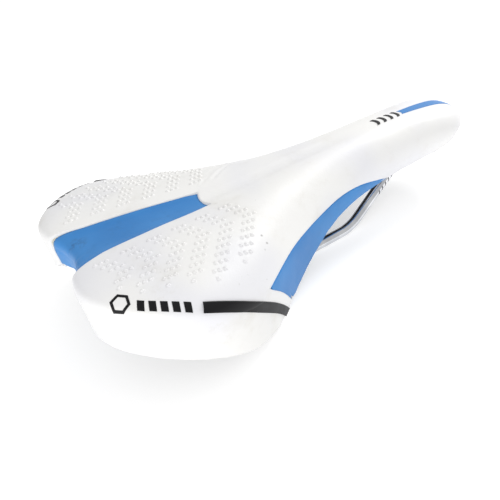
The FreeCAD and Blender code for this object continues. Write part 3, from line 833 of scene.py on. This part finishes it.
stripe = {
    "rows": 60,
    "columns": 12,
    "centre": (112, 36),
    "tilts": (123, -24),
    "halfWidths": (2.6 * mm, 4.4 * mm),
    "rearBow": 1.4 * mm,
    "rayStart": 100 * mm,
    "stand": 0.12 * mm,
    "thickness": 0.12 * mm,
    "merge": 0.01 * mm,
    "sharp": 40,
}


def makeStripe(tree):
    # the band over the nose, a little wider towards the tip, laid on the cover from its rear end
    table = []
    for share in np.linspace(-1, 1, stripe["columns"]):
        row = []
        for along in np.linspace(0, 1, stripe["rows"]):
            tilt = math.radians(np.interp(along, (0, 1), stripe["tilts"]))
            half = np.interp(along, (0, 1), stripe["halfWidths"])
            lead = stripe["rearBow"] * (1 - share**2) * (1 - along)
            centre = Vector((stripe["centre"][0] * mm + lead, share * half, stripe["centre"][1] * mm))
            way = Vector((math.cos(tilt), 0, math.sin(tilt)))
            found, facing, index, far = tree.ray_cast(centre + way * stripe["rayStart"], -way)
            row.append(found + facing * stripe["stand"])
        table.append(row)
    made = gridPiece("nose_band", np.array(table))
    thicken(made, stripe["thickness"], 0)
    closeUp(made, stripe["merge"])
    smoothed(made, stripe["sharp"])
    return made


def makeEmblem(name, tree, side):
    centres = [(x, y * side, z) for x, y, z in [emblem["ring"]] + emblem["bars"]]
    parts = []
    for number, centre in enumerate(centres):
        before = centres[max(number - 1, 0)]
        after = centres[min(number + 1, len(centres) - 1)]
        ahead = [b - a for a, b in zip(before, after)]
        shape = flatBar() if number else flatRing()
        parts.append(laidOn(name, tree, shape, centre, ahead, side))
    makeActive(*parts)
    bpy.ops.object.join()
    smoothed(parts[0], emblem["sharp"])
    return parts[0]


# materials

class Thread:
    # one output of a shader tree, so that sums on it read like sums

    def __init__(self, tree, socket):
        self.tree, self.socket = tree, socket

    def node(self, kind, settings=None, sockets=None, out=0):
        made = self.tree.nodes.new(kind)
        for name, value in (settings or {}).items():
            setattr(made, name, value)
        for name, value in (sockets or {}).items():
            if isinstance(value, Thread):
                self.tree.links.new(value.socket, made.inputs[name])
            else:
                made.inputs[name].default_value = value
        return Thread(self.tree, made.outputs[out])

    def sum(self, operation, *values):
        return self.node("ShaderNodeMath", {"operation": operation}, dict(enumerate(values)))

    def __add__(self, other):
        return self.sum("ADD", self, other)

    def __radd__(self, other):
        return self.sum("ADD", other, self)

    def __sub__(self, other):
        return self.sum("SUBTRACT", self, other)

    def __rsub__(self, other):
        return self.sum("SUBTRACT", other, self)

    def __mul__(self, other):
        return self.sum("MULTIPLY", self, other)

    def __rmul__(self, other):
        return self.sum("MULTIPLY", other, self)

    def __gt__(self, other):
        return self.sum("GREATER_THAN", self, other)

    def __lt__(self, other):
        return self.sum("LESS_THAN", self, other)

    def noise(self, size, detail=3.0, rough=0.5):
        sockets = {"Vector": self, "Scale": 1 / size, "Detail": detail, "Roughness": rough}
        return self.node("ShaderNodeTexNoise", None, sockets)

    def cells(self, size):
        return self.node("ShaderNodeTexVoronoi", {"feature": "F1"}, {"Vector": self, "Scale": 1 / size})

    def ranged(self, low, high):
        # 0 up to the low value, 1 from the high one
        sockets = {"Value": self, "From Min": low, "From Max": high}
        return self.node("ShaderNodeMapRange", {"interpolation_type": "SMOOTHSTEP"}, sockets)

    def patches(self, size, detail, rough, low, high):
        # cloudy patches: the noise's size, detail and roughness, and where in its range they begin and end
        return self.noise(size, detail, rough).ranged(low, high)

    def varied(self, size, detail, amount, least):
        return self.noise(size, detail) * amount + least

    def spot(self, place, radius):
        # 1 at a place on the piece, fading to 0 at the radius
        sockets = {0: self, 1: [value * mm for value in place]}
        far = self.node("ShaderNodeVectorMath", {"operation": "DISTANCE"}, sockets, out=1)
        return far.ranged(radius * mm, 0.0)

    def blend(self, first, second):
        # self is the share of the second colour
        return self.node("ShaderNodeMix", {"data_type": "RGBA"}, {0: self, 6: first, 7: second}, out=2)

    def bump(self, strength, distance, before=None):
        sockets = {"Height": self, "Strength": strength, "Distance": distance}
        if before:
            sockets["Normal"] = before
        return self.node("ShaderNodeBump", None, sockets)


def newFinish(name, **constants):
    # a material, its place thread and its shader
    made = bpy.data.materials.new(name)
    made.use_nodes = True
    tree = made.node_tree
    shader = tree.nodes["Principled BSDF"]
    for label, value in constants.items():
        shader.inputs[label.replace("_", " ")].default_value = value
    coordinates = tree.nodes.new("ShaderNodeTexCoord")
    return made, Thread(tree, coordinates.outputs["Object"]), shader


def link(shader, **threads):
    for label, thread in threads.items():
        thread.tree.links.new(thread.socket, shader.inputs[label.replace("_", " ")])


def tone(*values):
    return (*values, 1)


leatherGrain = {
    "cells": 0.00065,
    "pebbles": (0.0009, 2),
    "share": 0.6,
}


def grainOf(place):
    pebbles = place.noise(*leatherGrain["pebbles"]) * leatherGrain["share"]
    return place.cells(leatherGrain["cells"]) * leatherGrain["share"] + pebbles


whiteSkin = {
    "clean": tone(0.800, 0.795, 0.780),
    "cool": tone(0.745, 0.745, 0.770),
    "worn": tone(0.600, 0.570, 0.510),
    "soil": tone(0.300, 0.270, 0.230),
    "speck": tone(0.120, 0.110, 0.100),
    "coolPatches": (0.060, 2, 0.5, 0.42, 0.66),
    "dirtPatches": (0.022, 5, 0.62, 0.52, 0.78),
    "dirtShare": 0.30,
    "smearPatches": (0.006, 4, 0.7, 0.50, 0.72),
    "stains": [((-85, -75, 37), 7, 0.5), ((-126, -22, 41), 6, 0.45), ((-101, -57, 57.5), 16, 0.22),
               ((-117, -60, 55), 10, 0.20), ((-116, -20, 59.5), 14, 0.22), ((-82, -75, 29), 9, 0.25),
               ((-38, 20, 54), 9, 0.22), ((-39, -50, 47), 6, 0.25), ((-119, 24, 59), 12, 0.2),
               ((52, -20, 44), 14, 0.12), ((20, 14, 53), 16, 0.12)],
    "fleckSpacing": 0.0125,
    "fleckEdge": (0.030, 0.022),
    "fleckRegions": (0.03, 2),
    "fleckRegionLevel": 0.60,
    "specks": [(-38, -45, 49), (-38, -49, 46), (-41, -52.6, 46)],
    "speckSize": 1.1,
    "fleckShare": 0.75,
    "scuffPatches": (0.003, 3, 0.6, 0.66, 0.74),
    "scuffRegions": (0.045, 2, 0.5, 0.55, 0.68),
    "scuffShare": 0.25,
    "grainBump": (0.22, 0.00022),
    "wrinkles": (0.0042, 3, 0.55),
    "wrinkleBump": (0.10, 0.0009),
    "roughness": (0.012, 3, 0.16, 0.38),
    "specular": 0.45,
}


def whiteFinish():
    values = whiteSkin
    made, place, shader = newFinish("white_cover", Specular_IOR_Level=values["specular"])
    base = place.patches(*values["coolPatches"]).blend(values["clean"], values["cool"])
    dirt = place.patches(*values["dirtPatches"]) * values["dirtShare"]
    smears = place.patches(*values["smearPatches"])
    for spot, radius, amount in values["stains"]:
        dirt = dirt + place.spot(spot, radius) * smears * amount
    base = dirt.blend(base, values["worn"])
    regions = place.noise(*values["fleckRegions"]) > values["fleckRegionLevel"]
    flecks = place.cells(values["fleckSpacing"]).ranged(*values["fleckEdge"]) * regions
    for speck in values["specks"]:
        flecks = flecks + place.spot(speck, values["speckSize"])
    base = (flecks * values["fleckShare"]).blend(base, values["speck"])
    scuffs = place.patches(*values["scuffPatches"]) * place.patches(*values["scuffRegions"])
    base = (scuffs * values["scuffShare"]).blend(base, values["soil"])
    fine = grainOf(place).bump(*values["grainBump"])
    normal = place.noise(*values["wrinkles"]).bump(*values["wrinkleBump"], fine)
    link(shader, Base_Color=base, Roughness=place.varied(*values["roughness"]), Normal=normal)
    return made


blueSkin = {
    "blue": tone(0.036, 0.195, 0.500),
    "light": tone(0.050, 0.235, 0.565),
    "soil": tone(0.035, 0.110, 0.240),
    "lightPatches": (0.045, 2, 0.5, 0.40, 0.68),
    "smearPatches": (0.0035, 4, 0.65, 0.42, 0.66),
    "dirtPatches": (0.015, 4, 0.6, 0.58, 0.80),
    "dirtShare": 0.20,
    "smudges": [((-120, 5, 56), 8, 0.80), ((-96, 4, 57), 14, 0.18), ((-70, -3, 55), 12, 0.15)],
    "grainBump": (0.20, 0.00022),
    "roughness": (0.010, 3, 0.16, 0.34),
    "specular": 0.3,
}


def blueFinish():
    values = blueSkin
    made, place, shader = newFinish("blue_skin", Specular_IOR_Level=values["specular"])
    base = place.patches(*values["lightPatches"]).blend(values["blue"], values["light"])
    smears = place.patches(*values["smearPatches"])
    dirt = place.patches(*values["dirtPatches"]) * values["dirtShare"]
    for spot, radius, amount in values["smudges"]:
        dirt = dirt + place.spot(spot, radius) * smears * amount
    base = dirt.blend(base, values["soil"])
    link(shader, Base_Color=base, Roughness=place.varied(*values["roughness"]),
         Normal=grainOf(place).bump(*values["grainBump"]))
    return made


film = {
    "scratchPatches": (0.0016, 5, 0.7, 0.66, 0.76),
    "scratchRegions": (0.02, 2, 0.5, 0.45, 0.65),
    "scratchShare": 0.5,
    "roughness": (0.006, 3, 0.20, 0.30),
    "pebbles": (0.0009, 2),
    "bump": (0.12, 0.00015),
    "specular": 0.22,
}


def filmFinish(name, ink, worn):
    # screen-printed film, a little glossier than the skin under it
    made, place, shader = newFinish(name, Specular_IOR_Level=film["specular"])
    scratches = place.patches(*film["scratchPatches"]) * place.patches(*film["scratchRegions"])
    base = (scratches * film["scratchShare"]).blend(ink, worn)
    link(shader, Base_Color=base, Roughness=place.varied(*film["roughness"]),
         Normal=place.noise(*film["pebbles"]).bump(*film["bump"]))
    return made


nylon = {
    "flow": (0.03, 4, 0.6),
    "flowEdge": (0.35, 0.70),
    "darker": 0.75,
    "lighter": 1.5,
    "dust": tone(0.20, 0.19, 0.17),
    "dustPatches": (0.010, 5, 0.7, 0.60, 0.80),
    "dustShare": 0.18,
    "roughness": (0.25, 0.36),
    "bump": (0.35, 0.00025),
    "specular": 0.5,
}


def nylonFinish(name, shade, spark):
    # moulded nylon with a spark-eroded surface and faint flow marks
    made, place, shader = newFinish(name, Specular_IOR_Level=nylon["specular"])
    flow = place.noise(*nylon["flow"])
    dark, light = (tone(*[value * nylon[word] for value in shade]) for word in ("darker", "lighter"))
    base = flow.ranged(*nylon["flowEdge"]).blend(dark, light)
    dust = place.patches(*nylon["dustPatches"]) * nylon["dustShare"]
    base = dust.blend(base, nylon["dust"])
    amount, least = nylon["roughness"]
    texture = place.noise(spark, 3, 0.6)
    link(shader, Base_Color=base, Roughness=flow * amount + least, Normal=texture.bump(*nylon["bump"]))
    return made


railSteel = {
    "dull": tone(0.62, 0.63, 0.66),
    "bright": tone(0.78, 0.79, 0.81),
    "tintPatches": (0.012, 3, 0.5, 0.35, 0.75),
    "roughness": (0.008, 4, 0.12, 0.10),
    "drawing": (1, 14, 14),
    "drawingSize": 0.004,
    "bump": (0.05, 0.0002),
    "ink": tone(0.03, 0.03, 0.035),
    "inkRoughness": 0.3,
    "scales": [(-34, -6), (66, 88)],
    "side": 24.2,
    "bendStart": 40,
    "rise": 0.508,
    "narrowing": 0.197,
    "pitch": 3.2,
    "line": 0.42,
    "reach": (-1.6, 1.4),
}


def railFinish():
    # polished steel with fine drawing lines and a printed scale of plain ticks on its outer side
    made, place, shader = newFinish("rail_steel")
    values = railSteel
    x = place.node("ShaderNodeSeparateXYZ", None, {0: place})
    y, z = (Thread(place.tree, x.socket.node.outputs[k]) for k in (1, 2))
    tint = place.patches(*values["tintPatches"]).blend(values["dull"], values["bright"])
    rising = x.sum("MAXIMUM", x - values["bendStart"] * mm, 0.0)
    aside = y.sum("ABSOLUTE", y) + rising * values["narrowing"]
    above = z - rising * values["rise"]
    line = x.sum("PINGPONG", x, values["pitch"] * mm / 2) < values["line"] * mm
    (start, end), (nextStart, nextEnd) = values["scales"]
    along = (x > start * mm) * (x < end * mm) + (x > nextStart * mm) * (x < nextEnd * mm)
    low, high = values["reach"]
    ticks = line * along * (aside > values["side"] * mm) * (above > low * mm) * (above < high * mm)
    grooves = place.node("ShaderNodeMapping", None, {"Vector": place, "Scale": values["drawing"]})
    rough = place.varied(*values["roughness"]) + ticks * values["inkRoughness"]
    link(shader, Base_Color=ticks.blend(tint, values["ink"]), Metallic=1 - ticks, Roughness=rough,
         Normal=grooves.noise(values["drawingSize"]).bump(*values["bump"]))
    return made


metal = {
    "size": 0.004,
    "darker": 0.6,
    "darkEdge": (0.35, 0.7),
    "unevenGloss": 0.25,
    "scratches": 0.0008,
    "bump": (0.10, 0.0001),
}


def metalFinish(name, shade, rough):
    made, place, shader = newFinish(name, Metallic=1.0)
    dark = tone(*[value * metal["darker"] for value in shade])
    base = place.noise(metal["size"], 4).ranged(*metal["darkEdge"]).blend(tone(*shade), dark)
    link(shader, Base_Color=base, Roughness=place.varied(metal["size"], 3, metal["unevenGloss"], rough),
         Normal=place.noise(metal["scratches"]).bump(*metal["bump"]))
    return made


clipPaint = {
    "paint": tone(0.022, 0.022, 0.024),
    "bare": tone(0.30, 0.30, 0.30),
    "chipPatches": (0.003, 5, 0.7, 0.70, 0.74),
    "roughness": (0.002, 3, 0.3, 0.35),
    "orangePeel": 0.0012,
    "bump": (0.25, 0.0003),
    "coat": 0.3,
    "coatRoughness": 0.25,
}


def paintFinish():
    values = clipPaint
    made, place, shader = newFinish("clip_paint", Coat_Weight=values["coat"],
                                    Coat_Roughness=values["coatRoughness"])
    chips = place.patches(*values["chipPatches"])
    base = chips.blend(values["paint"], values["bare"])
    link(shader, Base_Color=base, Roughness=place.varied(*values["roughness"]), Metallic=chips,
         Normal=place.noise(values["orangePeel"]).bump(*values["bump"]))
    return made


foam = {
    "pore": tone(0.50, 0.47, 0.36),
    "skin": tone(0.74, 0.71, 0.60),
    "poreSize": 0.0014,
    "poreEdge": (0.1, 0.6),
    "bump": (0.7, 0.0008),
    "roughness": 0.95,
}


def foamFinish():
    made, place, shader = newFinish("foam_pores", Roughness=foam["roughness"])
    pores = place.cells(foam["poreSize"])
    base = pores.ranged(*foam["poreEdge"]).blend(foam["pore"], foam["skin"])
    link(shader, Base_Color=base, Normal=pores.bump(*foam["bump"]))
    return made


gel = {
    "deep": tone(0.80, 0.62, 0.22),
    "pale": tone(0.90, 0.74, 0.36),
    "cloudSize": 0.02,
    "ripples": (0.006, 2),
    "bump": (0.15, 0.001),
    "roughness": 0.22,
}


def gelFinish():
    made, place, shader = newFinish("gel", Roughness=gel["roughness"])
    base = place.noise(gel["cloudSize"]).blend(gel["deep"], gel["pale"])
    link(shader, Base_Color=base, Normal=place.noise(*gel["ripples"]).bump(*gel["bump"]))
    return made


print("materials ready")
whiteMaterial = whiteFinish()
blueMaterial = blueFinish()
coverPiece = makeCover()
finishPiece(coverPiece, whiteMaterial, "white_cover", "cover_main")
print("cover made:", len(coverPiece.data.polygons), "faces")
linerPiece = makeLiner()
finishPiece(linerPiece, blueMaterial, "blue_cover", "channel_liner")
for side, word in ((1, "left"), (-1, "right")):
    panelPiece = makePanel(side)
    finishPiece(panelPiece, blueMaterial, "blue_cover", "side_panel_" + word)
    print("side panel made:", word, len(panelPiece.data.polygons), "faces")

finishes = {
    "blue_film": filmFinish("blue_film", tone(0.040, 0.205, 0.520), tone(0.20, 0.36, 0.60)),
    "black_film": filmFinish("black_film", tone(0.005, 0.005, 0.006), tone(0.10, 0.09, 0.09)),
    "gel": gelFinish(),
    "foam": foamFinish(),
    "nylon": nylonFinish("shell_nylon", (0.020, 0.020, 0.022), 0.0007),
    "rail_steel": railFinish(),
    "bush": nylonFinish("bush_rubber", (0.016, 0.016, 0.016), 0.0004),
    "socket": nylonFinish("socket_nylon", (0.026, 0.026, 0.028), 0.0005),
    "clip_plate": paintFinish(),
    "screw_steel": metalFinish("screw_steel", (0.42, 0.42, 0.44), 0.26),
    "staple_steel": metalFinish("staple_steel", (0.62, 0.62, 0.64), 0.24),
}
coverTree = treeOf(coverPiece)
for side, word in ((1, "left"), (-1, "right")):
    marks = makeEmblem("wing_marks_" + word, coverTree, side)
    finishPiece(marks, finishes["black_film"], "black_film", "emblem_film_" + word)
print("wing marks made:", len(marks.data.polygons), "faces each")

finishPiece(makeStripe(coverTree), finishes["blue_film"], "blue_film", "nose_stripe")
print("nose band made")

for row in frame["record"]["subparts"]:
    if row["material_slot"] in finishes:
        nodes[row["node"]].data.materials.clear()
        nodes[row["node"]].data.materials.append(finishes[row["material_slot"]])
print("CAD pieces finished")


# floor and light

studio = {
    "floorSize": 6,
    "floorGap": 0.05 * mm,
    "floorRoughness": 0.9,
    "floorTone": tone(0.62, 0.62, 0.62),
    "floorGlow": 0.55,
    "worldStrength": 0.64,
    "lamps": [
        {"name": "nose_side", "place": (0.78, 0.26, 0.58), "size": 0.25, "power": 6.2},
        {"name": "camera_side", "place": (-0.70, -0.65, 0.34), "size": 0.8, "power": 5.2},
    ],
}


def makeStudio():
    height = cadBox[0].z - studio["floorGap"]
    bpy.ops.mesh.primitive_plane_add(size=studio["floorSize"], location=(0, 0, height))
    floor = bpy.context.object
    floor.name = "floor"
    paper, place, shader = newFinish("floor_paper", Roughness=studio["floorRoughness"])
    shader.inputs["Base Color"].default_value = studio["floorTone"]
    shader.inputs["Emission Color"].default_value = tone(1, 1, 1)
    shader.inputs["Emission Strength"].default_value = studio["floorGlow"]
    floor.data.materials.append(paper)
    world = bpy.data.worlds.new("studio")
    bpy.context.scene.world = world
    world.use_nodes = True
    sky = world.node_tree.nodes["Background"].inputs
    sky["Color"].default_value = tone(1, 1, 1)
    sky["Strength"].default_value = studio["worldStrength"]
    for lamp in studio["lamps"]:
        bpy.ops.object.light_add(type="AREA", location=lamp["place"])
        made = bpy.context.object
        made.name = lamp["name"]
        made.data.size = lamp["size"]
        made.data.energy = lamp["power"]
        made.rotation_euler = (-Vector(lamp["place"])).to_track_quat("-Z", "Y").to_euler()
    bpy.context.scene.view_settings.view_transform = "Standard"


makeStudio()
makeCamera()
print("studio and camera set")
